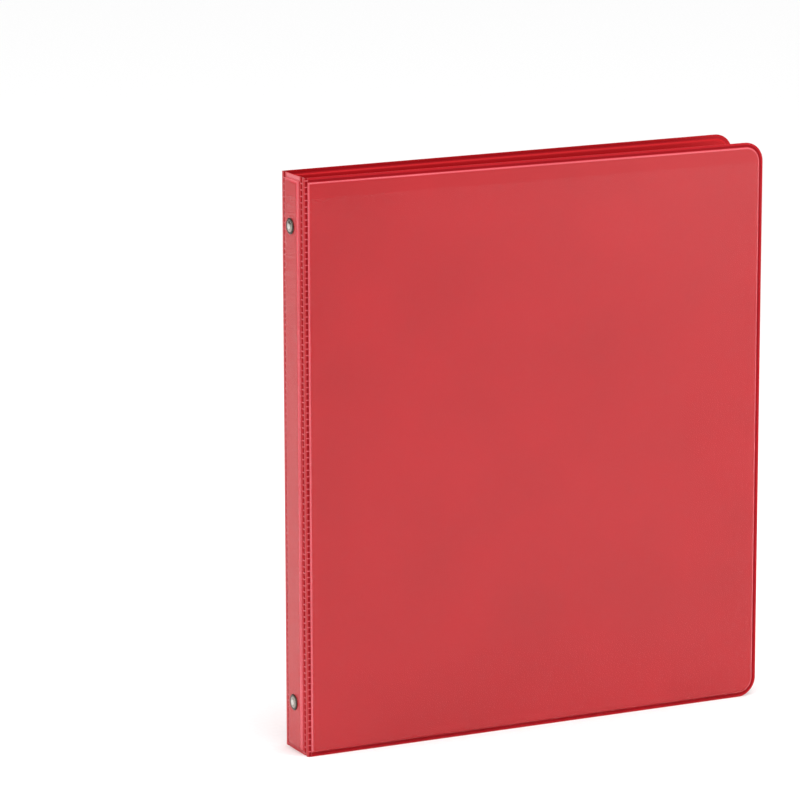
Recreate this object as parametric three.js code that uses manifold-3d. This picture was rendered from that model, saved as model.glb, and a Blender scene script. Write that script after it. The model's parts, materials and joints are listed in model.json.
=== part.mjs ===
// A letter-size ring binder with a three-ring mechanism, in millimetres, +Z up.
// It stands on its lower edge: spine at -X, fore edge at +X, front cover towards -Y.
// The origin is the bottom centre of the whole binder's box.
import * as THREE from 'three';
import { mergeVertices } from 'three/addons/utils/BufferGeometryUtils.js';
import Module from 'manifold-3d';

// ---- driving dimensions ----
const coverHeight = 292.1;
const coverWidth = 256; // from the fold line to the fore edge
const foldSpacing = 25.4; // between the two fold lines, across the spine
const splay = THREE.MathUtils.degToRad(0.6); // each cover leans outwards when the binder stands
const foreCornerRadius = 10;

// ---- sheet stack of a cover or of the spine ----
const boardThickness = 1.9;
const vinylThickness = 0.3;
const filmThickness = 0.15;
const pocketThickness = 0.2;
const layerGap = 0.05;
const flangeWidth = 2.2; // welded rim round each cover board
const spineShoulder = 4.3; // from the spine sheet's edge to its board, where the hinge weld is
const spineLift = 0.5; // the spine board sits outwards of the fold lines
const foldClearance = 0.4; // between a sheet's edge and the fold line
const filmSetback = 1.2; // between the film's edge and the fold line
const filmMouthDrop = 10.3; // the clear pockets open this far below the top edge
const pocketHeight = 118;

// ---- ring mechanism ----
const ringSpacing = 108; // three-hole paper
const ringInnerRadius = 6.4;
const ringWireRadius = 1.2;
const ringCentreHeight = 7.3; // above the spine lining
const ringHalfSweep = THREE.MathUtils.degToRad(146);
const housingHalfWidth = 8;
const housingHeight = 5;
const housingWall = 0.7;
const housingSideHeight = 2.6; // the straight side below the arch
const housingLip = 0.7;
const crownHalfLength = 124.6;
const earHalfLength = 130.6;
const bladeHalfLength = 125.4;
const bladeThickness = 0.8;
const bladeReach = 6.8; // from a blade's pivot to its inner edge
const bladeHeel = 0.1; // outside the pivot
const bladePivotX = 7;
const bladePivotHeight = 2;
const bladeRestTilt = THREE.MathUtils.degToRad(4); // inner edges hang down when the rings are closed
const rivetSpacing = 241.3;
const leverPinHalfSpacing = 127.6;
const leverPinHeight = 2.2;
const leverHalfWidth = 6.5;

const panelHalf = boardThickness / 2 + layerGap + vinylThickness; // half the thickness of board and vinyl
const liningTop = panelHalf - spineLift + layerGap; // world x where the mechanism sits
const filmGrow = layerGap + filmThickness;
const ringPathRadius = ringInnerRadius + ringWireRadius;
const far = 400; // longer than anything here, for cutting blocks

const wasm = await Module();
wasm.setup();

// ---- closed solids: cut and join ----
function toSolid(geometry) {
  const bare = geometry.index ? geometry.toNonIndexed() : geometry.clone();
  bare.deleteAttribute('normal');
  bare.deleteAttribute('uv');
  const merged = mergeVertices(bare, 1e-4);
  return new wasm.Manifold(
    new wasm.Mesh({
      numProp: 3,
      vertProperties: merged.attributes.position.array,
      triVerts: new Uint32Array(merged.index.array),
    }),
  );
}

function toGeometry(solid) {
  const mesh = solid.getMesh();
  const geometry = new THREE.BufferGeometry();
  geometry.setAttribute('position', new THREE.BufferAttribute(mesh.vertProperties, 3));
  geometry.setIndex(new THREE.BufferAttribute(mesh.triVerts, 1));
  geometry.computeVertexNormals();
  return geometry;
}

const cut = (solid, ...tools) => tools.reduce((rest, tool) => rest.subtract(tool), solid);
const join = (solid, ...others) => others.reduce((whole, other) => whole.add(other), solid);

function boxSolid(low, high) {
  const size = high.map((value, axis) => value - low[axis]);
  const centre = high.map((value, axis) => (value + low[axis]) / 2);
  return toSolid(new THREE.BoxGeometry(...size).translate(...centre));
}

// A round bar along the local y axis, from y = low to y = high.
function barSolid(radius, low, high, x, z, sides = 32) {
  const bar = new THREE.CylinderGeometry(radius, radius, high - low, sides);
  return toSolid(bar.translate(x, (low + high) / 2, z));
}

// ---- materials ----
const vinyl = new THREE.MeshStandardMaterial({ color: 0xb4222c, roughness: 0.38 });
const lining = new THREE.MeshStandardMaterial({ color: 0xab1c26, roughness: 0.5 });
const film = new THREE.MeshStandardMaterial({
  color: 0xf6dcdc,
  roughness: 0.15,
  transparent: true,
  opacity: 0.3,
});
const board = new THREE.MeshStandardMaterial({ color: 0x9a8c78, roughness: 0.95 });
const nickel = new THREE.MeshStandardMaterial({ color: 0xd3d3d0, roughness: 0.18, metalness: 1 });

function part(name, solid, material) {
  const mesh = new THREE.Mesh(toGeometry(solid), material);
  mesh.name = name;
  return mesh;
}

// ---- flat panels, drawn in their own plane: x across, y up, z outwards ----

// The outline of a panel's sheet, drawn in from its edges; only the fore edge has round corners.
function outline(panel, sideInset, endInset) {
  const left = panel.left + sideInset;
  const right = panel.right - sideInset;
  const bottom = endInset;
  const top = coverHeight - endInset;
  const radius = Math.max(panel.cornerRadius - endInset, 0);
  const shape = new THREE.Shape();
  shape.moveTo(left, bottom);
  shape.lineTo(right - radius, bottom);
  if (radius > 0) shape.absarc(right - radius, bottom + radius, radius, -Math.PI / 2, 0);
  shape.lineTo(right, top - radius);
  if (radius > 0) shape.absarc(right - radius, top - radius, radius, 0, Math.PI / 2);
  shape.lineTo(left, top);
  shape.closePath();
  return shape;
}

function slab(shape, low, high, bevel = 0) {
  const options = {
    depth: high - low - 2 * bevel,
    bevelEnabled: bevel > 0,
    bevelThickness: bevel,
    bevelSize: bevel,
    bevelOffset: -bevel,
    bevelSegments: 1,
    curveSegments: 10,
  };
  return toSolid(new THREE.ExtrudeGeometry(shape, options).translate(0, 0, low + bevel));
}

// The raised middle of a panel, grown all round by the given amount.
function raised(panel, grow) {
  const reach = panelHalf + grow;
  const shape = outline(panel, panel.shoulder - grow, flangeWidth - grow);
  return slab(shape, panel.lift - reach, panel.lift + reach, panel.bevel);
}

// The half of a raised middle that one sheet is formed over. side is 1 outside, -1 inside.
function halfHump(panel, grow, side, level) {
  const away = side > 0 ? [-far, level] : [-level, far];
  return cut(raised(panel, grow), boxSolid([-far, -far, away[0]], [far, far, away[1]]));
}

// One vinyl sheet, formed over the board and flat at its welded rim.
function vinylSheet(panel, side) {
  const near = layerGap / 2;
  const reach = near + vinylThickness;
  const rim = slab(outline(panel, 0, 0), side > 0 ? near : -reach, side > 0 ? reach : -near);
  const hump = halfHump(panel, 0, side, (near + reach) / 2);
  return cut(join(rim, hump), raised(panel, -vinylThickness));
}

// A thin sheet welded over the vinyl along three sides and open at its top edge.
function pocketSheet(panel, side, thickness, top) {
  const near = layerGap * 1.5 + vinylThickness;
  const reach = near + thickness;
  const shape = outline(panel, filmSetback - foldClearance, layerGap * 2);
  const rim = slab(shape, side > 0 ? near : -reach, side > 0 ? reach : -near);
  const hump = halfHump(panel, layerGap + thickness, side, (near + reach) / 2);
  const mouth = boxSolid([-far, top, -far], [far, far, far]);
  return cut(join(rim, hump), raised(panel, layerGap), mouth);
}

function panelBoard(panel) {
  return raised(panel, -vinylThickness - layerGap);
}

function cover(side) {
  const panel = {
    left: foldClearance,
    right: coverWidth,
    shoulder: flangeWidth,
    lift: 0,
    bevel: 0.5,
    cornerRadius: foreCornerRadius,
  };
  const sheets = new THREE.Group();
  sheets.rotation.x = Math.PI / 2;
  sheets.add(
    part(`${side}_cover_board`, panelBoard(panel), board),
    part(`${side}_cover_outer_vinyl`, vinylSheet(panel, 1), vinyl),
    part(`${side}_cover_inner_vinyl`, vinylSheet(panel, -1), lining),
    part(
      `${side}_cover_clear_overlay`,
      pocketSheet(panel, 1, filmThickness, coverHeight - filmMouthDrop),
      film,
    ),
    part(`${side}_cover_inner_pocket`, pocketSheet(panel, -1, pocketThickness, pocketHeight), lining),
  );
  const group = new THREE.Group();
  group.add(sheets);
  return group;
}

function spinePanel() {
  const panel = {
    left: foldClearance - foldSpacing / 2,
    right: foldSpacing / 2 - foldClearance,
    shoulder: spineShoulder,
    lift: spineLift,
    bevel: 0.9,
    cornerRadius: 0,
  };
  const holes = [-1, 1].map((end) => {
    const hole = new THREE.CylinderGeometry(3, 3, far, 32).rotateX(Math.PI / 2);
    return toSolid(hole.translate(0, coverHeight / 2 + (end * rivetSpacing) / 2, 0));
  });
  const pierced = (solid) => cut(solid, ...holes);
  const filmSheet = pocketSheet(panel, 1, filmThickness, coverHeight - filmMouthDrop);
  const sheets = new THREE.Group();
  sheets.rotation.x = Math.PI / 2;
  sheets.add(
    part('spine_board', pierced(panelBoard(panel)), board),
    part('spine_outer_vinyl', pierced(vinylSheet(panel, 1)), vinyl),
    part('spine_inner_vinyl', pierced(vinylSheet(panel, -1)), lining),
    part('spine_clear_overlay', pierced(filmSheet), film),
  );
  return sheets;
}

// ---- ring mechanism, drawn with x across the spine (+x is the front), y away from it, z along it ----

// The arch's outline: straight sides, then a half ellipse.
function archShape(halfWidth, top) {
  const shape = new THREE.Shape();
  shape.moveTo(halfWidth, 0);
  shape.lineTo(halfWidth, housingSideHeight);
  shape.absellipse(0, housingSideHeight, halfWidth, top - housingSideHeight, 0, Math.PI);
  shape.lineTo(-halfWidth, 0);
  shape.closePath();
  return shape;
}

function alongMechanism(shape, halfLength) {
  const options = { depth: 2 * halfLength, bevelEnabled: false, curveSegments: 14 };
  return toSolid(new THREE.ExtrudeGeometry(shape, options).translate(0, 0, -halfLength));
}

function housing() {
  const innerHalf = housingHalfWidth - housingWall;
  const full = alongMechanism(archShape(housingHalfWidth, housingHeight), earHalfLength);
  const hollow = alongMechanism(archShape(innerHalf, housingHeight - housingWall), far);
  const lipBlock = (end) =>
    boxSolid(
      [end > 0 ? innerHalf - housingLip : -innerHalf - housingLip, 0, -earHalfLength],
      [end > 0 ? innerHalf + housingLip : -innerHalf + housingLip, housingLip, earHalfLength],
    );
  let shell = join(cut(full, hollow), lipBlock(1), lipBlock(-1));

  // a dished seat for each rivet, formed down from the crown
  const seatRadius = 4.6;
  const seatFloor = 3.2;
  for (const z of [-rivetSpacing / 2, rivetSpacing / 2]) {
    const plug = barSolid(seatRadius, seatFloor, 2 * housingHeight, 0, z).intersect(full);
    const dish = barSolid(
      seatRadius - housingWall,
      seatFloor + housingWall,
      2 * housingHeight,
      0,
      z,
    );
    shell = cut(join(shell, plug), dish, barSolid(2.05, 0, 2 * housingHeight, 0, z));
  }

  // slots where the rings come through, and the open ends between the two ears
  const slotHalf = ringWireRadius + 0.4;
  for (const z of [-ringSpacing, 0, ringSpacing]) {
    for (const side of [-1, 1]) {
      const across = [side * 5, side * (housingHalfWidth + 1)].sort((a, b) => a - b);
      shell = cut(
        shell,
        boxSolid([across[0], 1.85, z - slotHalf], [across[1], 2 * housingHeight, z + slotHalf]),
      );
    }
  }
  for (const end of [-1, 1]) {
    const along = [end * crownHalfLength, end * far].sort((a, b) => a - b);
    shell = cut(
      shell,
      boxSolid([-innerHalf, housingLip, along[0]], [innerHalf, 2 * housingHeight, along[1]]),
    );
    const bore = new THREE.CylinderGeometry(1, 1, far, 24).rotateZ(Math.PI / 2);
    shell = cut(shell, toSolid(bore.translate(0, leverPinHeight, end * leverPinHalfSpacing)));
  }
  return part('ring_housing', shell, nickel);
}

// A whole ring's wire with its two ends under the blades, grown by the given amount.
function ringWire(z, grow) {
  const from = Math.PI / 2 - ringHalfSweep;
  const to = Math.PI / 2 + ringHalfSweep;
  const flat = new THREE.EllipseCurve(0, 0, ringPathRadius, ringPathRadius, from, to);
  class RingPath extends THREE.Curve {
    getPoint(t, target = new THREE.Vector3()) {
      const point = flat.getPoint(t);
      return target.set(point.x, point.y + ringCentreHeight, z);
    }
  }
  const radius = ringWireRadius + grow;
  const section = new THREE.Shape().absarc(0, 0, radius, 0, 2 * Math.PI);
  const options = { extrudePath: new RingPath(), steps: 48, curveSegments: 7, bevelEnabled: false };
  return toSolid(new THREE.ExtrudeGeometry(section, options));
}

// Everything on one side of a ring's zigzag parting line, shifted across by the given amount.
function partingBlock(z, shift, side) {
  const shape = new THREE.Shape();
  const tip = 0.7;
  shape.moveTo(shift - tip / 2, -far);
  shape.lineTo(shift - tip / 2, -ringWireRadius);
  shape.lineTo(shift + tip, 0);
  shape.lineTo(shift - tip / 2, ringWireRadius);
  shape.lineTo(shift - tip / 2, far);
  shape.lineTo(side * far, far);
  shape.lineTo(side * far, -far);
  const ordered = THREE.ShapeUtils.isClockWise(shape.getPoints()) ? shape.getPoints().reverse() : null;
  const closed = ordered ? new THREE.Shape(ordered) : shape;
  const block = new THREE.ExtrudeGeometry(closed, { depth: 2 * far, bevelEnabled: false });
  return toSolid(block.translate(0, 0, -far).rotateX(Math.PI / 2).translate(0, 0, z));
}

// A blade with its three half rings. side is 1 for the front of the binder, -1 for the back.
function halfRings(side) {
  const name = side > 0 ? 'front' : 'back';
  const innerEdge = bladePivotX - bladeReach;
  const low = [innerEdge, -bladeThickness / 2, -bladeHalfLength];
  const high = [bladePivotX + bladeHeel, bladeThickness / 2, bladeHalfLength];
  const strip = new THREE.BoxGeometry(...high.map((value, axis) => value - low[axis]))
    .translate(...high.map((value, axis) => (value + low[axis]) / 2))
    .translate(-bladePivotX, 0, 0)
    .rotateZ(bladeRestTilt)
    .translate(bladePivotX, bladePivotHeight, 0);
  if (side < 0) strip.rotateY(Math.PI);
  let blade = toSolid(strip);
  for (const z of [-rivetSpacing / 2, rivetSpacing / 2]) {
    blade = cut(blade, barSolid(4.6, -housingHeight, housingHeight, 0, z, 40));
  }
  const group = new THREE.Group();
  const heights = { lower: -ringSpacing, middle: 0, upper: ringSpacing };
  for (const [level, z] of Object.entries(heights)) {
    blade = cut(blade, ringWire(z, 0.12));
    const keep = partingBlock(z, side > 0 ? 0.15 : 0, side);
    group.add(part(`${level}_${name}_half_ring`, ringWire(z, 0).intersect(keep), nickel));
  }
  group.add(part(`${name}_ring_blade`, blade, nickel));
  return group;
}

// A shouldered rivet with a domed head outside the spine and a rolled end in the housing's seat.
function rivet(name, z) {
  const headSeat = -(panelHalf + spineLift + filmGrow + layerGap) - liningTop;
  const domeRadius = 4.35;
  const domeHeight = 1.6;
  const rimHeight = 0.2;
  const dome = [];
  for (let step = 0; step <= 8; step++) {
    const angle = (step / 8) * (Math.PI / 2);
    const y = headSeat - rimHeight - (domeHeight - rimHeight) * Math.cos(angle);
    dome.push(new THREE.Vector2(domeRadius * Math.sin(angle), y));
  }
  const shank = [
    [domeRadius, headSeat],
    [2.8, headSeat],
    [2.8, 3.15],
    [1.95, 3.15],
    [1.95, 3.95],
    [3.2, 3.95],
    [3.2, 4.25],
    [2.7, 4.65],
    [1.8, 4.65],
    [1.3, 4.3],
    [1.3, 1.6],
    [0, 1.6],
  ].map(([r, y]) => new THREE.Vector2(r, y));
  const turned = toSolid(new THREE.LatheGeometry([...dome, ...shank], 32));
  const mesh = part(name, turned, nickel);
  mesh.position.z = z;
  return mesh;
}

// An opening lever: an eye on the pin, a tongue under the blades and a curved thumb plate.
// Its profile is drawn with x outwards along the spine and y away from the spine.
function lever(name, end) {
  const eye = new THREE.Shape().absarc(0, 0, 1.7, 0, 2 * Math.PI);
  const tongue = new THREE.Shape();
  tongue.moveTo(-2.9, -1.95);
  tongue.lineTo(0.4, -1.6);
  tongue.lineTo(0.4, -0.6);
  tongue.lineTo(-1.2, -0.8);
  tongue.lineTo(-2, -1.4);
  tongue.lineTo(-2.9, -1.4);
  tongue.closePath();
  const plate = new THREE.Shape();
  plate.moveTo(1.6, -0.4);
  plate.quadraticCurveTo(2.6, 7.6, 9.4, 10.6);
  plate.quadraticCurveTo(10, 11, 9.3, 11.5);
  plate.quadraticCurveTo(1.2, 8.8, 0.2, 1.5);
  plate.lineTo(0.2, -0.4);
  plate.closePath();
  const across = (shape, halfWidth) => {
    const options = { depth: 2 * halfWidth, bevelEnabled: false, curveSegments: 10 };
    return toSolid(new THREE.ExtrudeGeometry(shape, options).translate(0, 0, -halfWidth));
  };
  // the thumb plate's two outer corners are round
  const corner = 3.5;
  const reach = 9.8;
  const trim = new THREE.Shape();
  trim.moveTo(-5, -leverHalfWidth);
  trim.lineTo(reach - corner, -leverHalfWidth);
  trim.absarc(reach - corner, corner - leverHalfWidth, corner, -Math.PI / 2, 0);
  trim.absarc(reach - corner, leverHalfWidth - corner, corner, 0, Math.PI / 2);
  trim.lineTo(-5, leverHalfWidth);
  trim.closePath();
  const trimBlock = toSolid(
    new THREE.ExtrudeGeometry(trim, { depth: 60, bevelEnabled: false, curveSegments: 8 })
      .translate(0, 0, -30)
      .rotateX(Math.PI / 2),
  );
  const bore = toSolid(new THREE.CylinderGeometry(1, 1, far, 24).rotateX(Math.PI / 2));
  const bar = join(across(eye, leverHalfWidth), across(tongue, 2), across(plate, leverHalfWidth));
  const mesh = part(name, cut(bar.intersect(trimBlock), bore), nickel);
  mesh.rotation.y = (-end * Math.PI) / 2;
  mesh.position.set(0, leverPinHeight, end * leverPinHalfSpacing);
  return mesh;
}

function leverPin(name, end) {
  const headStart = housingHalfWidth + 0.1;
  const headEnd = headStart + 0.5;
  const half = [
    [0, -headEnd],
    [1.4, -headEnd],
    [1.4, -headStart],
    [0.9, -headStart],
    [0.9, headStart],
    [1.4, headStart],
    [1.4, headEnd],
    [0, headEnd],
  ].map(([r, y]) => new THREE.Vector2(r, y));
  const mesh = part(name, toSolid(new THREE.LatheGeometry(half, 24)), nickel);
  mesh.rotation.z = Math.PI / 2;
  mesh.position.set(0, leverPinHeight, end * leverPinHalfSpacing);
  return mesh;
}

function mechanism() {
  const group = new THREE.Group();
  group.add(
    housing(),
    halfRings(1),
    halfRings(-1),
    rivet('upper_rivet', rivetSpacing / 2),
    rivet('lower_rivet', -rivetSpacing / 2),
    lever('upper_lever', 1),
    lever('lower_lever', -1),
    leverPin('upper_lever_pin', 1),
    leverPin('lower_lever_pin', -1),
  );
  group.position.set(0, liningTop, coverHeight / 2);
  return group;
}

// ---- assembly ----
const binder = new THREE.Group();

const spine = new THREE.Group();
spine.rotation.z = -Math.PI / 2;
spine.add(spinePanel(), mechanism());

const frontCover = cover('front');
frontCover.position.y = -foldSpacing / 2;
frontCover.rotation.z = -splay;

const backCover = cover('back');
backCover.scale.y = -1;
backCover.position.y = foldSpacing / 2;
backCover.rotation.z = splay;

binder.add(spine, frontCover, backCover);

// the fold lines stand at x = 0 until here; the box's middle becomes the origin
const bounds = new THREE.Box3().setFromObject(binder, true);
binder.position.x = -(bounds.min.x + bounds.max.x) / 2;

export default binder;
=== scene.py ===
import json
import math

import bmesh
import bpy
from mathutils import Matrix, Vector


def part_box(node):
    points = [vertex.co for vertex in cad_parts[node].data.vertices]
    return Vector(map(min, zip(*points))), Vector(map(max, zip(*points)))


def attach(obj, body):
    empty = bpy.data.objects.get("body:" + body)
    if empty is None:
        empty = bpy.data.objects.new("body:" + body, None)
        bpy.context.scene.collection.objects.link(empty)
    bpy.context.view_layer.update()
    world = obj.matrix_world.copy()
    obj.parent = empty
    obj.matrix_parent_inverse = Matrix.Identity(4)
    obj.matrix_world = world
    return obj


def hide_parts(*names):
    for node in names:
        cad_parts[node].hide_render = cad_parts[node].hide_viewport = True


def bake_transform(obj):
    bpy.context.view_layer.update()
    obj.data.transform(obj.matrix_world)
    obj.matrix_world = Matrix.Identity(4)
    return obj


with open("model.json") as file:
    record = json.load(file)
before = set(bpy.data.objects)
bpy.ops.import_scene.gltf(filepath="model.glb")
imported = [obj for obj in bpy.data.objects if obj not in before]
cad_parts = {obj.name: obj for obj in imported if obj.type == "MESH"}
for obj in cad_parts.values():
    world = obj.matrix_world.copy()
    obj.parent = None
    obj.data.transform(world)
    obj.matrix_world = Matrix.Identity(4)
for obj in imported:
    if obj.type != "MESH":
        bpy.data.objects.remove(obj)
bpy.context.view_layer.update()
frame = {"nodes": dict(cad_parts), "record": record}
mm = 0.001

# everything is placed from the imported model
joints = {joint["name"]: joint for joint in frame["record"]["behaviour"]["joints"]}
mounts = {mount["name"]: mount for mount in frame["record"]["mounts"]}
foldX, foldY, _ = joints["back_cover_hinge"]["pos_m"]
splay = math.asin(-mounts["front_face"]["axis"][0])  # each cover leans outwards by this
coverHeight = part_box("front_cover_outer_vinyl")[1].z
coverWidth = (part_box("front_cover_outer_vinyl")[1].x - foldX) / math.cos(splay)


def coverPlane(side):
    # x from the fold to the fore edge, y up, z outwards; side is -1 front, 1 back
    across = Vector((math.cos(splay), side * math.sin(splay), 0))
    outwards = Vector((-math.sin(splay), side * math.cos(splay), 0))
    matrix = Matrix((across, (0, 0, 1), outwards)).transposed().to_4x4()
    matrix.translation = (foldX, side * foldY, 0)
    return matrix


def spinePlane():
    # x towards the front, y up, z outwards from the binder
    matrix = Matrix(((0, -1, 0), (0, 0, 1), (-1, 0, 0))).transposed().to_4x4()
    matrix.translation = (foldX, 0, 0)
    return matrix


def linearColour(hexValue, alpha=1.0):
    channels = [int(hexValue[i : i + 2], 16) / 255 for i in (0, 2, 4)]
    return [c / 12.92 if c <= 0.04045 else ((c + 0.055) / 1.055) ** 2.4 for c in channels] + [alpha]


def addNode(tree, kind, settings=None, inputs=None, links=None, stops=()):
    # settings are the node's own fields, inputs its socket values, links where each socket's value
    # comes from, as (node, output), and stops a colour ramp's (position, colour)
    node = tree.nodes.new(kind)
    for field, value in (settings or {}).items():
        setattr(node, field, value)
    for socket, value in (inputs or {}).items():
        node.inputs[socket].default_value = value
    for socket, (source, output) in (links or {}).items():
        tree.links.new(source.outputs[output], node.inputs[socket])
    for index, (position, colour) in enumerate(stops):
        node.color_ramp.elements[index].position = position
        node.color_ramp.elements[index].color = linearColour(colour)
    return node


def newMaterial(name):
    material = bpy.data.materials.new(name)
    material.use_nodes = True
    tree = material.node_tree
    tree.nodes.clear()
    shader = addNode(tree, "ShaderNodeBsdfPrincipled")
    addNode(tree, "ShaderNodeOutputMaterial", links={"Surface": (shader, "BSDF")})
    place = addNode(tree, "ShaderNodeTexCoord")
    return material, tree, shader, place


# Calendered PVC: an even colour with a fine embossed grain that breaks up its shine
calenderedVinyl = {
    "colour": ("ac0d17", "b40f1a"),
    "grain": (0.55, 0.012),  # mm between the embossed pits, and their depth
    "grainStrength": 0.18,
    "roughness": (0.34, 0.42),
    "specular": 0.4,
}
# Vinyl lining: a clear bright red, duller and more strongly embossed than the outside
liningVinyl = {
    "colour": ("b60c16", "bf0f1a"),
    "grain": (0.7, 0.03),
    "grainStrength": 0.35,
    "roughness": (0.5, 0.62),
    "specular": 0.15,
}
# Vinyl pressed between hot bars, nearly without shine; its darker, deeper red is painted shade in
# the weld's groove and seams
weldShadeVinyl = {
    "colour": ("8c0813", "980a16"),
    "grain": (0.4, 0.008),
    "grainStrength": 0.15,
    "roughness": (0.45, 0.6),
    "specular": 0.08,
}
# The flat lip outside the weld keeps more of the sheet's own colour
trimmedVinyl = {
    "colour": ("ac111c", "b5141f"),
    "grain": (0.4, 0.008),
    "grainStrength": 0.15,
    "roughness": (0.45, 0.6),
    "specular": 0.12,
}
# Vinyl stretched over an edge: the strain pales it and it shines more. Its pale colour is partly a
# painted highlight, put on the board edges' ridges, the spine's edges and the hinge's cross marks
strainHighlightVinyl = {
    "colour": ("c9404a", "d8545e"),
    "grain": (0.9, 0.01),
    "grainStrength": 0.15,
    "roughness": (0.2, 0.3),
    "specular": 0.6,
}
# the same on all the vinyl, per metre: soft blotches 45 mm apart in its colour, and rubbed
# patches 4 mm apart in its shine
vinylPattern = {"blotch": 22.0, "rub": 260.0}
softVinylIor = 1.53


def makeVinyl(name, look):
    material, tree, shader, place = newMaterial(name)
    cloud = addNode(
        tree,
        "ShaderNodeTexNoise",
        inputs={"Scale": vinylPattern["blotch"], "Detail": 3.0, "Roughness": 0.5},
        links={"Vector": (place, "Object")},
    )
    tint = addNode(
        tree,
        "ShaderNodeValToRGB",
        links={"Fac": (cloud, "Fac")},
        stops=zip((0.3, 0.7), look["colour"]),
    )
    tree.links.new(tint.outputs["Color"], shader.inputs["Base Color"])
    grain = addNode(
        tree,
        "ShaderNodeTexVoronoi",
        {"feature": "SMOOTH_F1"},
        {"Scale": 1 / (look["grain"][0] * mm), "Smoothness": 0.6, "Randomness": 0.9},
        {"Vector": (place, "Object")},
    )
    pits = addNode(
        tree,
        "ShaderNodeBump",
        inputs={"Strength": look["grainStrength"], "Distance": look["grain"][1] * mm},
        links={"Height": (grain, "Distance")},
    )
    tree.links.new(pits.outputs["Normal"], shader.inputs["Normal"])
    rub = addNode(
        tree,
        "ShaderNodeTexNoise",
        inputs={"Scale": vinylPattern["rub"], "Detail": 4.0, "Roughness": 0.62},
        links={"Vector": (place, "Object")},
    )
    shine = addNode(
        tree,
        "ShaderNodeMapRange",
        inputs={"To Min": look["roughness"][0], "To Max": look["roughness"][1]},
        links={"Value": (rub, "Fac")},
    )
    tree.links.new(shine.outputs["Result"], shader.inputs["Roughness"])
    shader.inputs["Specular IOR Level"].default_value = look["specular"]
    shader.inputs["IOR"].default_value = softVinylIor
    return material


# Clear soft PVC film: almost colourless, a little milky, with a wet-looking shine; it is painted
# whiter towards edge on, a painted sheen.
# the first number is how white each face is painted square on (the milkiness), the second edge on
# (milkiness and painted sheen)
clearFilm = {"tint": "fff1f1", "hazeAndSheen": (0.003, 0.022), "roughness": (0.16, 0.26)}
# Where the film is welded down it has melted into the red sheet and all but disappears
fusedFilm = {"tint": "e06a70", "hazeAndSheen": (0.001, 0.003), "roughness": (0.3, 0.4)}
# the film lies in slow ripples: how many to the metre, about 30 mm apart, and how high
filmRipple = {"scale": 34.0, "height": 0.4 * mm}


def makeFilm(name, look):
    material, tree, shader, place = newMaterial(name)
    ripple = addNode(
        tree,
        "ShaderNodeTexNoise",
        inputs={"Scale": filmRipple["scale"], "Detail": 2.0, "Roughness": 0.45},
        links={"Vector": (place, "Object")},
    )
    swell = addNode(
        tree,
        "ShaderNodeBump",
        inputs={"Strength": 0.2, "Distance": filmRipple["height"]},
        links={"Height": (ripple, "Fac")},
    )
    tree.links.new(swell.outputs["Normal"], shader.inputs["Normal"])
    shine = addNode(
        tree,
        "ShaderNodeMapRange",
        inputs={"To Min": look["roughness"][0], "To Max": look["roughness"][1]},
        links={"Value": (ripple, "Fac")},
    )
    tree.links.new(shine.outputs["Result"], shader.inputs["Roughness"])
    # painted sheen: the film turns whiter as it is seen more edge on
    facing = addNode(tree, "ShaderNodeLayerWeight", inputs={"Blend": 0.3})
    hazeAndSheen = addNode(
        tree,
        "ShaderNodeMapRange",
        inputs={"To Min": look["hazeAndSheen"][0], "To Max": look["hazeAndSheen"][1]},
        links={"Value": (facing, "Facing")},
    )
    tree.links.new(hazeAndSheen.outputs["Result"], shader.inputs["Alpha"])
    shader.inputs["Base Color"].default_value = linearColour(look["tint"])
    shader.inputs["IOR"].default_value = softVinylIor
    return material


# Bright nickel over steel: a warm grey mirror with faint polishing lines along the metal,
# streak mm apart
nickelPlate = {"colour": ("c6c2bb", "dad7d1"), "roughness": (0.13, 0.24), "streak": 0.8}
# Painted shade and dark reflection on a rivet's head: greyer round its crown, and dark brown-grey at
# its rim
shadedNickelLook = {"colour": ("8f8880", "a8a199"), "roughness": (0.18, 0.3), "streak": 0.5}
darkShadedNickelLook = {"colour": ("3d342e", "544a43"), "roughness": (0.2, 0.34), "streak": 0.5}
polish = {"stretch": 0.02, "depth": 0.05 * mm}  # a line is 50 times as long as it is wide


def makeNickel(name, look, along):
    # along is the axis that the metal was polished on, 0 for x and 2 for z
    material, tree, shader, place = newMaterial(name)
    stretch = [1 / (look["streak"] * mm)] * 3
    stretch[along] *= polish["stretch"]
    turned = addNode(
        tree, "ShaderNodeMapping", inputs={"Scale": stretch}, links={"Vector": (place, "Object")}
    )
    lines = addNode(
        tree,
        "ShaderNodeTexNoise",
        inputs={"Scale": 1.0, "Detail": 5.0, "Roughness": 0.6},
        links={"Vector": (turned, "Vector")},
    )
    tint = addNode(
        tree,
        "ShaderNodeValToRGB",
        links={"Fac": (lines, "Fac")},
        stops=zip((0.35, 0.65), look["colour"]),
    )
    tree.links.new(tint.outputs["Color"], shader.inputs["Base Color"])
    shine = addNode(
        tree,
        "ShaderNodeMapRange",
        inputs={"To Min": look["roughness"][0], "To Max": look["roughness"][1]},
        links={"Value": (lines, "Fac")},
    )
    tree.links.new(shine.outputs["Result"], shader.inputs["Roughness"])
    scratch = addNode(
        tree,
        "ShaderNodeBump",
        inputs={"Strength": 0.08, "Distance": polish["depth"]},
        links={"Height": (lines, "Fac")},
    )
    tree.links.new(scratch.outputs["Normal"], shader.inputs["Normal"])
    shader.inputs["Metallic"].default_value = 1.0
    return material


# Recycled chipboard: grey-brown, dull, with fibres pressed about 1 mm apart and darker flecks
recycledChipboard = {
    "colour": ("7d7264", "b3a691"),
    "fibres": 900.0,  # per metre
    "fibreDepth": 0.1 * mm,
    "roughness": 0.92,
}


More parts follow.
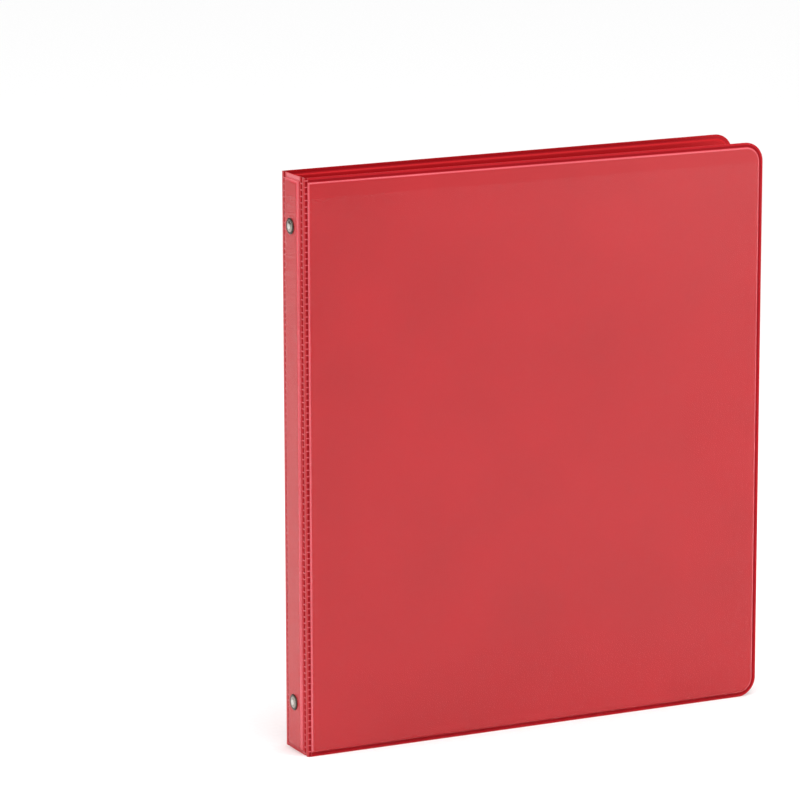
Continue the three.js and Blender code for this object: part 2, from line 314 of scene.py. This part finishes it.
def makeChipboard(name, look):
    material, tree, shader, place = newMaterial(name)
    fibres = addNode(
        tree,
        "ShaderNodeTexNoise",
        inputs={"Scale": look["fibres"], "Detail": 6.0, "Roughness": 0.7},
        links={"Vector": (place, "Object")},
    )
    tint = addNode(
        tree,
        "ShaderNodeValToRGB",
        links={"Fac": (fibres, "Fac")},
        stops=zip((0.3, 0.7), look["colour"]),
    )
    tree.links.new(tint.outputs["Color"], shader.inputs["Base Color"])
    rough = addNode(
        tree,
        "ShaderNodeBump",
        inputs={"Strength": 0.5, "Distance": look["fibreDepth"]},
        links={"Height": (fibres, "Fac")},
    )
    tree.links.new(rough.outputs["Normal"], shader.inputs["Normal"])
    shader.inputs["Roughness"].default_value = look["roughness"]
    return material


trimmed = makeVinyl("trimmed_vinyl_edge", trimmedVinyl)
weldShadeMaterial = makeVinyl("heat_welded_shade_vinyl", weldShadeVinyl)
strainHighlightMaterial = makeVinyl("strain_paled_highlight_vinyl", strainHighlightVinyl)
fused = makeFilm("fused_vinyl_film", fusedFilm)
# each sheet's own material, then those of its lip, its weld (a darker red that is painted shade) and
# its strained edges (a pale colour that is partly painted highlight)
outerSheet = [makeVinyl("calendered_vinyl", calenderedVinyl), trimmed, weldShadeMaterial, strainHighlightMaterial]
lining = makeVinyl("grained_lining_vinyl", liningVinyl)
liningSheet = [lining, lining, trimmed, lining]
clearSheet = [makeFilm("clear_vinyl_film", clearFilm), fused, fused]
clearSheet.append(clearSheet[0])
nickelSheet = makeNickel("nickel_plated_sheet", nickelPlate, 2)
nickelBar = makeNickel("nickel_plated_wire", nickelPlate, 0)
shadedNickelShoulder = makeNickel("painted_shade_nickel_shoulder", shadedNickelLook, 0)
darkShadedNickelRim = makeNickel("painted_shade_nickel_rim", darkShadedNickelLook, 0)
chipboard = makeChipboard("recycled_chipboard", recycledChipboard)
print("materials made")


def finishPiece(bm, name, materials, smoothAngle=40):
    bmesh.ops.remove_doubles(bm, verts=bm.verts, dist=1e-7)
    bmesh.ops.recalc_face_normals(bm, faces=bm.faces)
    mesh = bpy.data.meshes.new(name)
    bm.to_mesh(mesh)
    bm.free()
    for material in materials:
        mesh.materials.append(material)
    mesh.shade_smooth()
    mesh.set_sharp_from_angle(angle=math.radians(smoothAngle))
    piece = bpy.data.objects.new(name, mesh)
    bpy.context.collection.objects.link(piece)
    return piece


cornerSegments = 14


def roundedSheet(left, right, bottom, top, radius):
    # one flat face; only its two right corners are round
    bm = bmesh.new()
    bmesh.ops.create_grid(bm, x_segments=1, y_segments=1, size=0.5)
    size = Vector((right - left, top - bottom, 1))
    bmesh.ops.scale(bm, vec=size, verts=bm.verts)
    bmesh.ops.translate(bm, vec=((left + right) / 2, (bottom + top) / 2, 0), verts=bm.verts)
    if radius > 0:
        corners = [v for v in bm.verts if v.co.x > (left + right) / 2]
        bmesh.ops.bevel(
            bm,
            geom=corners,
            offset=radius,
            offset_type="OFFSET",
            segments=cornerSegments,
            profile=0.5,
            affect="VERTICES",
            material=-1,
        )
    return bm


# the weld's number takes a darker red that is painted shade, and the strained number a pale colour
# that is partly painted highlight
plain, lip, weld, strainHighlight = range(4)  # the sheet's material numbers
shadedFootHeight = 4 * mm  # painted shade: up to here the lower edge keeps the plain colour instead of the pale strained one, as it faces away from the light


def formOver(bm, steps):
    # the sheet rises in rings from its rim: (inset, rise, material's number), the first two in mm
    face = max(bm.faces, key=lambda f: f.calc_area())
    for inset, rise, number in steps:
        ring = bmesh.ops.inset_region(
            bm,
            faces=[face],
            thickness=inset * mm,
            depth=rise * mm,
            use_even_offset=True,
            use_boundary=True,
        )["faces"]
        for part in ring:
            # painted shade: strained faces along the lower edge keep the plain colour
            inShadedFoot = part.calc_center_median().y < shadedFootHeight
            part.material_index = plain if inShadedFoot and number == strainHighlight else number


def cutAway(bm, point, direction):
    # everything on the side that direction points to goes
    bmesh.ops.bisect_plane(
        bm,
        geom=bm.verts[:] + bm.edges[:] + bm.faces[:],
        plane_co=point,
        plane_no=direction,
        clear_outer=True,
    )


def thicken(bm, thickness):
    # the drawn surface is the outside, and the wall goes inwards from it
    bmesh.ops.recalc_face_normals(bm, faces=bm.faces)
    if sum(f.normal.z * f.calc_area() for f in bm.faces) < 0:
        bmesh.ops.reverse_faces(bm, faces=bm.faces)
    bmesh.ops.solidify(bm, geom=bm.faces[:], thickness=thickness)


# the trimmed lip, the weld's groove, then the rounded shoulder up to the board's face
rimForm = [
    (0.25, 0.03, lip),
    (0.75, 0.0, lip),
    (0.3, -0.07, weld),
    (0.45, 0.0, weld),
    (0.3, 0.06, weld),
]
coverForm = rimForm + [
    (0.12, 0.03, weld),
    (0.1, 0.16, plain),
    (0.12, 0.26, strainHighlight),
    (0.16, 0.24, strainHighlight),
    (0.22, 0.16, strainHighlight),
    (0.3, 0.07, strainHighlight),
    (0.4, 0.03, plain),
    (0.5, 0.0, plain),
]
# on the spine the lip and weld rings take the pale strained colour too, a painted highlight along
# its edges
spineForm = [(inset, rise, strainHighlight) for inset, rise, _ in rimForm] + [
    (0.12, 0.03, strainHighlight),
    (0.1, 0.2, plain),
    (0.14, 0.36, strainHighlight),
    (0.2, 0.36, strainHighlight),
    (0.28, 0.26, strainHighlight),
    (0.4, 0.14, strainHighlight),
    (0.5, 0.06, plain),
    (0.6, 0.02, plain),
    (0.5, 0.0, plain),
]
liningForm = rimForm + [
    (0.12, 0.05, plain),
    (0.14, 0.16, plain),
    (0.2, 0.16, plain),
    (0.3, 0.08, plain),
    (0.4, 0.025, plain),
    (0.5, 0.0, plain),
]
rimWidth = sum(ring[0] for ring in rimForm)
rimRings = len(rimForm)

sheet = {
    "vinyl": 0.3 * mm,
    "film": 0.15 * mm,
    "pocket": 0.2 * mm,
    "rimLevel": 0.325 * mm,  # outer face of the welded rim
    "foreRadius": 10 * mm,
    "hingeShift": 1.0 * mm,  # the board's edge lies this much nearer the fold than its lip is wide
    "hingeEdge": 1.3 * mm,  # the cover's own sheet stops here and the hinge strip takes over
    "filmInset": 0.7 * mm,
    "layerGap": 0.05 * mm,  # between a sheet and the film or pocket that lies on it
    "mouthDrop": 10.3 * mm,
    "pocketTop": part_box("front_cover_inner_pocket")[1].z,
}


def coverSheet(
    name, side, outwards, materials, level, thickness, inset=0.0, top=None, replaced=()
):
    # inset makes a smaller sheet with a flat rim, and top is where its open mouth is cut
    bm = roundedSheet(
        inset - sheet["hingeShift"],
        coverWidth - inset,
        inset,
        coverHeight - inset,
        sheet["foreRadius"] - inset,
    )
    flatRim = [(rimWidth - inset / mm, 0.0, lip)]
    formOver(bm, flatRim + coverForm[rimRings:] if inset else coverForm)
    cutAway(bm, (sheet["hingeEdge"], 0, 0), (-1, 0, 0))
    if top:
        cutAway(bm, (0, top, 0), (0, 1, 0))
    thicken(bm, thickness)
    bmesh.ops.translate(bm, vec=(0, 0, level), verts=bm.verts)
    if not outwards:
        bmesh.ops.scale(bm, vec=(1, 1, -1), verts=bm.verts)
    bmesh.ops.transform(bm, matrix=coverPlane(side), verts=bm.verts)
    piece = finishPiece(bm, name, materials)
    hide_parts(*replaced)
    return piece


def makeCover(side, word):
    coverBody = f"{word}_cover"
    vinylTop = sheet["rimLevel"]
    mouth = coverHeight - sheet["mouthDrop"]
    filmLevel = vinylTop + sheet["layerGap"] + sheet["film"]
    pocketLevel = vinylTop + sheet["layerGap"] + sheet["pocket"]
    pieces = [
        coverSheet(
            f"{word}_outer_cover_sheet",
            side,
            True,
            outerSheet,
            vinylTop,
            sheet["vinyl"],
            replaced=[f"{coverBody}_outer_vinyl"],
        ),
        coverSheet(
            f"{word}_inner_cover_sheet",
            side,
            False,
            liningSheet,
            vinylTop,
            sheet["vinyl"],
            replaced=[f"{coverBody}_inner_vinyl"],
        ),
        coverSheet(
            f"{word}_clear_pocket",
            side,
            True,
            clearSheet,
            filmLevel,
            sheet["film"],
            sheet["filmInset"],
            mouth,
            [f"{coverBody}_clear_overlay"],
        ),
        coverSheet(
            f"{word}_inside_pocket",
            side,
            False,
            liningSheet,
            pocketLevel,
            sheet["pocket"],
            sheet["filmInset"],
            sheet["pocketTop"],
            [f"{coverBody}_inner_pocket"],
        ),
    ]
    for piece in pieces:
        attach(piece, coverBody)


makeCover(-1, "front")
makeCover(1, "back")
print("covers made")

spineHalf = 8.0 * mm  # to the foot of the spine board's shoulder
spineTrim = 0.05 * mm  # its sheets are trimmed this far beyond that foot


def spineSheet(
    name, outwards, materials, form, level, thickness, inset=0.0, top=None, replaced=()
):
    half = spineHalf + rimWidth * mm - inset
    bm = roundedSheet(-half, half, inset, coverHeight - inset, 0)
    flatRim = [(rimWidth - inset / mm, 0.0, lip)]
    formOver(bm, flatRim + form[rimRings:] if inset else form)
    for direction in (-1, 1):
        cutAway(bm, (direction * (spineHalf + spineTrim), 0, 0), (direction, 0, 0))
    if top:
        cutAway(bm, (0, top, 0), (0, 1, 0))
    thicken(bm, thickness)
    bmesh.ops.translate(bm, vec=(0, 0, level), verts=bm.verts)
    if not outwards:
        bmesh.ops.scale(bm, vec=(1, 1, -1), verts=bm.verts)
    bmesh.ops.transform(bm, matrix=spinePlane(), verts=bm.verts)
    piece = finishPiece(bm, name, materials)
    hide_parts(*replaced)
    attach(piece, "spine")
    return piece


spineSheet(
    "spine_outer_sheet",
    True,
    outerSheet,
    spineForm,
    sheet["rimLevel"],
    sheet["vinyl"],
    replaced=["spine_outer_vinyl"],
)
spineSheet(
    "spine_inner_sheet",
    False,
    liningSheet,
    liningForm,
    sheet["rimLevel"],
    sheet["vinyl"],
    replaced=["spine_inner_vinyl"],
)
spineSheet(
    "spine_clear_pocket",
    True,
    clearSheet,
    spineForm,
    sheet["rimLevel"] + sheet["layerGap"] + sheet["film"],
    sheet["film"],
    sheet["filmInset"],
    coverHeight - sheet["mouthDrop"],
    ["spine_clear_overlay"],
)
print("spine sheets made")

# the hinge strips run from the spine board to a cover board, bending round the fold
hinge = {
    "proud": 0.42 * mm,  # outer face beyond the fold line
    "bendRadius": 1.0 * mm,
    "thickness": 0.78 * mm,
    "spineReach": 4.85 * mm,  # from the fold line to the spine board
    "coverReach": 1.7 * mm,
    "rungPitch": 3.2 * mm,  # the welding bar's cross marks
    "rungWidth": 0.5 * mm,
    "rungHeight": 0.2 * mm,
    "rungSink": 0.2,  # the part of its height that a mark's middle lies below the strip's face
    "firstRung": 0.4 * mm,
    "weldedPart": 0.7,  # the part of a seam's width that has the weld's darker red, painted shade
    "columns": 44,
    "rows": 120,
}
arcLength = hinge["bendRadius"] * math.pi / 2
beyondArc = hinge["bendRadius"] - hinge["proud"]  # from the fold line to where the arc ends
spineRun = hinge["spineReach"] - beyondArc
coverRun = hinge["coverReach"] - beyondArc
# the seam beside the spine board, then the one beside the cover board; rungStart is in pitches
seams = [
    {
        "centre": -(arcLength / 2 + 3.0 * mm - beyondArc),
        "halfWidth": 1.15 * mm,
        "depth": 0.46 * mm,
        "rungLength": 2.6 * mm,
        "rungStart": 0.25,
    },
    {
        "centre": arcLength / 2 + 0.1 * mm,
        "halfWidth": 0.8 * mm,
        "depth": 0.16 * mm,
        "rungLength": 1.8 * mm,
        "rungStart": 0.75,
    },
]


def wrapRoundFold(verts, side):
    # x runs from the spine board, round the fold, to the cover board; z is outwards
    centre = Vector((foldX + beyondArc, side * (foldY - beyondArc)))
    for vert in verts:
        along, up, out = vert.co
        if along < -arcLength / 2:
            x = foldX - hinge["proud"] - out
            y = centre.y - side * (-along - arcLength / 2)
        elif along > arcLength / 2:
            x = centre.x + along - arcLength / 2
            y = side * (foldY + hinge["proud"] + out)
        else:
            turn = math.pi / 4 + along / hinge["bendRadius"]
            radius = hinge["bendRadius"] + out
            x = centre.x - radius * math.cos(turn)
            y = centre.y + side * radius * math.sin(turn)
        vert.co = (x, y, up)


def seamDip(along, seam):
    # a rounded groove, deepest on the seam's centre line
    reach = abs(along - seam["centre"]) / seam["halfWidth"]
    return -seam["depth"] * (1 + math.cos(math.pi * reach)) / 2 if reach < 1 else 0.0


def addRungs(bm, seam):
    length, width, height = seam["rungLength"], hinge["rungWidth"], hinge["rungHeight"]
    for row in range(int(coverHeight / hinge["rungPitch"])):
        rung = bmesh.ops.create_cube(bm, size=1.0)["verts"]
        bmesh.ops.scale(bm, vec=(length, width, height), verts=rung)
        level = (row + seam["rungStart"]) * hinge["rungPitch"] + hinge["firstRung"]
        bmesh.ops.translate(bm, vec=(seam["centre"], level, -height * hinge["rungSink"]), verts=rung)
        # the cross marks take the pale strained colour: partly the pressed vinyl's whitening, partly
        # a painted highlight
        for face in {f for v in rung for f in v.link_faces}:
            face.material_index = strainHighlight
        # cut across, so that the rung can follow the bend
        sides = {e for v in rung for e in v.link_edges}
        lengthwise = [e for e in sides if abs(e.verts[0].co.x - e.verts[1].co.x) > length / 2]
        bmesh.ops.subdivide_edges(bm, edges=lengthwise, cuts=3, use_grid_fill=True)


def makeHinge(side, word):
    start, end = -(arcLength / 2 + spineRun), arcLength / 2 + coverRun
    bm = bmesh.new()
    bmesh.ops.create_grid(bm, x_segments=hinge["columns"], y_segments=hinge["rows"], size=0.5)
    bmesh.ops.scale(bm, vec=(end - start, coverHeight, 1), verts=bm.verts)
    bmesh.ops.translate(bm, vec=((start + end) / 2, coverHeight / 2, 0), verts=bm.verts)
    for seam in seams:
        for vert in bm.verts:
            vert.co.z += seamDip(vert.co.x, seam)
        for face in bm.faces:
            reach = abs(face.calc_center_median().x - seam["centre"]) / seam["halfWidth"]
            if reach < hinge["weldedPart"]:
                # the seam's middle takes the weld's darker red, painted shade in the groove
                face.material_index = weld
    bmesh.ops.solidify(bm, geom=bm.faces[:], thickness=hinge["thickness"])
    if max(v.co.z for v in bm.verts) > 0.1 * mm:  # the wall went outwards, so it moves in
        bmesh.ops.translate(bm, vec=(0, 0, -hinge["thickness"]), verts=bm.verts)
    for seam in seams:
        addRungs(bm, seam)
    wrapRoundFold(bm.verts, side)
    piece = finishPiece(bm, f"{word}_hinge_strip", outerSheet, smoothAngle=50)
    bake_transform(piece)


makeHinge(-1, "front")
makeHinge(1, "back")
print("hinge strips made")

easedEdge = {"pressedSheet": 0.12 * mm, "lever": 0.2 * mm, "ringWire": 0.08 * mm}


def easedCopy(
    nodeName, name, body, material, ease=easedEdge["pressedSheet"], smoothAngle=38
):
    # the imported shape, with its facets merged and its edges eased
    bm = bmesh.new()
    bm.from_mesh(frame["nodes"][nodeName].data)
    bmesh.ops.remove_doubles(bm, verts=bm.verts, dist=2e-6)
    bmesh.ops.dissolve_degenerate(bm, dist=1e-6, edges=bm.edges)
    bmesh.ops.dissolve_limit(bm, angle_limit=math.radians(1), verts=bm.verts, edges=bm.edges)
    piece = finishPiece(bm, name, [material], smoothAngle)
    bevel = piece.modifiers.new("eased_edges", "BEVEL")
    bevel.width = ease
    bevel.segments = 2
    bevel.limit_method = "ANGLE"
    bevel.angle_limit = math.radians(smoothAngle)
    bevel.harden_normals = False
    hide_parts(nodeName)
    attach(piece, body)
    return piece


# half the rivet's outline, (radius, distance out from the fold plane) in mm, from the head's crown
# to the rolled end inside the housing
rivetOutline = [
    (0.0, 2.9),
    (0.7, 2.88),
    (1.4, 2.8),
    (2.0, 2.68),
    (2.5, 2.54),
    (2.9, 2.45),
    (3.2, 2.46),
    (3.5, 2.52),
    (3.75, 2.5),
    (3.95, 2.38),
    (4.08, 2.2),
    (4.05, 2.05),
    (2.8, 2.05),
    (2.8, -4.0),
    (1.95, -4.0),
    (1.95, -4.8),
    (3.1, -4.8),
    (3.2, -4.95),
    (3.1, -5.2),
    (2.7, -5.5),
    (2.2, -5.58),
    (1.8, -5.5),
    (1.4, -5.2),
    (1.3, -4.8),
    (1.3, -2.5),
    (0.0, -2.5),
]
rivetBands = {"crown": 1.6 * mm, "shoulder": 2.75 * mm}  # bright inside, then painted shade: grey, then dark brown-grey outside
rivetSteps = 48


def makeRivet(end):
    bm = bmesh.new()
    level = (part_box(f"{end}_rivet")[0].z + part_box(f"{end}_rivet")[1].z) / 2
    points = [bm.verts.new((foldX - out * mm, radius * mm, level)) for radius, out in rivetOutline]
    outline = [bm.edges.new(pair) for pair in zip(points, points[1:])]
    bmesh.ops.spin(
        bm,
        geom=points + outline,
        cent=(foldX, 0, level),
        axis=(1, 0, 0),
        angle=2 * math.pi,
        steps=rivetSteps,
        use_merge=True,
    )
    bmesh.ops.dissolve_degenerate(bm, dist=1e-7, edges=bm.edges)
    for face in bm.faces:
        middle = face.calc_center_median()
        reach = math.hypot(middle.y, middle.z - level)
        # the outer bands take the painted shade and dark reflection
        face.material_index = sum(reach > edge for edge in rivetBands.values())
    materials = [nickelBar, shadedNickelShoulder, darkShadedNickelRim]
    piece = finishPiece(bm, f"{end}_domed_rivet", materials, smoothAngle=35)
    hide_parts(f"{end}_rivet")
    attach(piece, "spine")


easedCopy("ring_housing", "arched_ring_housing", "spine", nickelSheet)
for end in ("upper", "lower"):
    easedCopy(
        f"{end}_lever",
        f"{end}_thumb_lever",
        f"{end}_lever",
        nickelSheet,
        easedEdge["lever"],
    )
    easedCopy(f"{end}_lever_pin", f"{end}_pivot_pin", "spine", nickelBar)
    makeRivet(end)
for word in ("front", "back"):
    for level in ("lower", "middle", "upper"):
        easedCopy(
            f"{level}_{word}_half_ring",
            f"{level}_{word}_ring_wire",
            f"{word}_rings",
            nickelBar,
            easedEdge["ringWire"],
        )
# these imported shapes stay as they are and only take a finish
carriedOver = {
    nickelSheet: ("front_ring_blade", "back_ring_blade"),
    chipboard: ("front_cover_board", "back_cover_board", "spine_board"),
}
for material, nodeNames in carriedOver.items():
    for nodeName in nodeNames:
        frame["nodes"][nodeName].data.materials.clear()
        frame["nodes"][nodeName].data.materials.append(material)
print("mechanism made")

# Seamless white paper: bright, matt, with the faintest tooth, about 2.5 mm apart
backdropPaper = {
    "colour": ("fafafa", "fdfdfd"),
    "tooth": 400.0,  # per metre
    "roughness": 0.85,
    "halfWidth": 6.0,  # metres from the binder to the floor's edge
}


def makeFloor():
    bm = bmesh.new()
    bmesh.ops.create_grid(bm, x_segments=2, y_segments=2, size=backdropPaper["halfWidth"])
    material, tree, shader, place = newMaterial("white_backdrop_paper")
    tooth = addNode(
        tree,
        "ShaderNodeTexNoise",
        inputs={"Scale": backdropPaper["tooth"], "Detail": 3.0},
        links={"Vector": (place, "Object")},
    )
    tint = addNode(
        tree,
        "ShaderNodeValToRGB",
        links={"Fac": (tooth, "Fac")},
        stops=zip((0.35, 0.65), backdropPaper["colour"]),
    )
    tree.links.new(tint.outputs["Color"], shader.inputs["Base Color"])
    shader.inputs["Roughness"].default_value = backdropPaper["roughness"]
    mesh = bpy.data.meshes.new("paper_floor")
    bm.to_mesh(mesh)
    bm.free()
    mesh.materials.append(material)
    floor = bpy.data.objects.new("paper_floor", mesh)
    bpy.context.collection.objects.link(floor)


def makeLight(name, place, target, size, power):
    data = bpy.data.lights.new(name, "AREA")
    data.shape = "SQUARE"
    data.size = size
    data.energy = power
    light = bpy.data.objects.new(name, data)
    light.location = place
    light.rotation_mode = "QUATERNION"
    light.rotation_quaternion = (Vector(target) - Vector(place)).to_track_quat("-Z", "Y")
    bpy.context.collection.objects.link(light)


# sky is how bright the white room is level with the binder and overhead; each softbox has its
# place, what it points at and its width, in metres, and its power in watts
studio = {
    "sky": (0.17, 1.42),
    "overhead": ((0.1, -0.35, 1.6), (0, 0, 0.2), 0.6, 6.5),
    "front": ((0.45, -0.4, 0.35), (0.1, 0, 0.15), 0.5, 1.2),
    "left": ((-1.6, -0.3, 0.9), (-0.1, 0, 0.15), 1.0, 11.0),
}


def makeStudio():
    world = bpy.data.worlds.new("white_room")
    bpy.context.scene.world = world
    world.use_nodes = True
    tree = world.node_tree
    place = addNode(tree, "ShaderNodeTexCoord")
    height = addNode(tree, "ShaderNodeSeparateXYZ", links={"Vector": (place, "Generated")})
    glow = addNode(
        tree,
        "ShaderNodeMapRange",
        inputs={"To Min": studio["sky"][0], "To Max": studio["sky"][1]},
        links={"Value": (height, "Z")},
    )
    # the room lights by that gradient, and is plain white where it is seen past the floor; a Mix
    # node's numbers are its sockets 0, the factor, and 2 and 3, what it mixes
    seen = addNode(tree, "ShaderNodeLightPath")
    strength = addNode(
        tree,
        "ShaderNodeMix",
        {"data_type": "FLOAT"},
        {3: 1.0},
        {0: (seen, "Is Camera Ray"), 2: (glow, "Result")},
    )
    tree.links.new(strength.outputs[0], tree.nodes["Background"].inputs["Strength"])
    tree.nodes["Background"].inputs["Color"].default_value = linearColour("ffffff")
    for side in ("overhead", "front", "left"):
        makeLight(f"{side}_softbox", *studio[side])
    bpy.context.scene.view_settings.view_transform = "Standard"


cameraView = {
    "fromFold": (-0.90134, -1.94704, 0.64666),  # x from the fold lines, y across, z up
    "azimuth": -26.219,  # degrees, as are the next two
    "elevation": 12.286,
    "roll": -0.148,
    "lens": 200.6,  # mm, as is the sensor's width
    "sensor": 36.0,
    "clipEnd": 50,
}


def makeCamera():
    data = bpy.data.cameras.new("camera")
    data.lens = cameraView["lens"]
    data.sensor_width = cameraView["sensor"]
    data.clip_end = cameraView["clipEnd"]
    camera = bpy.data.objects.new("camera", data)
    camera.location = Vector((foldX, 0, 0)) + Vector(cameraView["fromFold"])
    a, e = math.radians(cameraView["azimuth"]), math.radians(cameraView["elevation"])
    back = Vector((math.sin(a) * math.cos(e), -math.cos(a) * math.cos(e), math.sin(e)))
    camera.rotation_mode = "QUATERNION"
    level = (-back).to_track_quat("-Z", "Y").to_matrix()
    turn = Matrix.Rotation(math.radians(cameraView["roll"]), 3, "Z")
    camera.rotation_quaternion = (level @ turn).to_quaternion()
    bpy.context.collection.objects.link(camera)
    bpy.context.scene.camera = camera


makeFloor()
makeStudio()
makeCamera()
print("studio made")
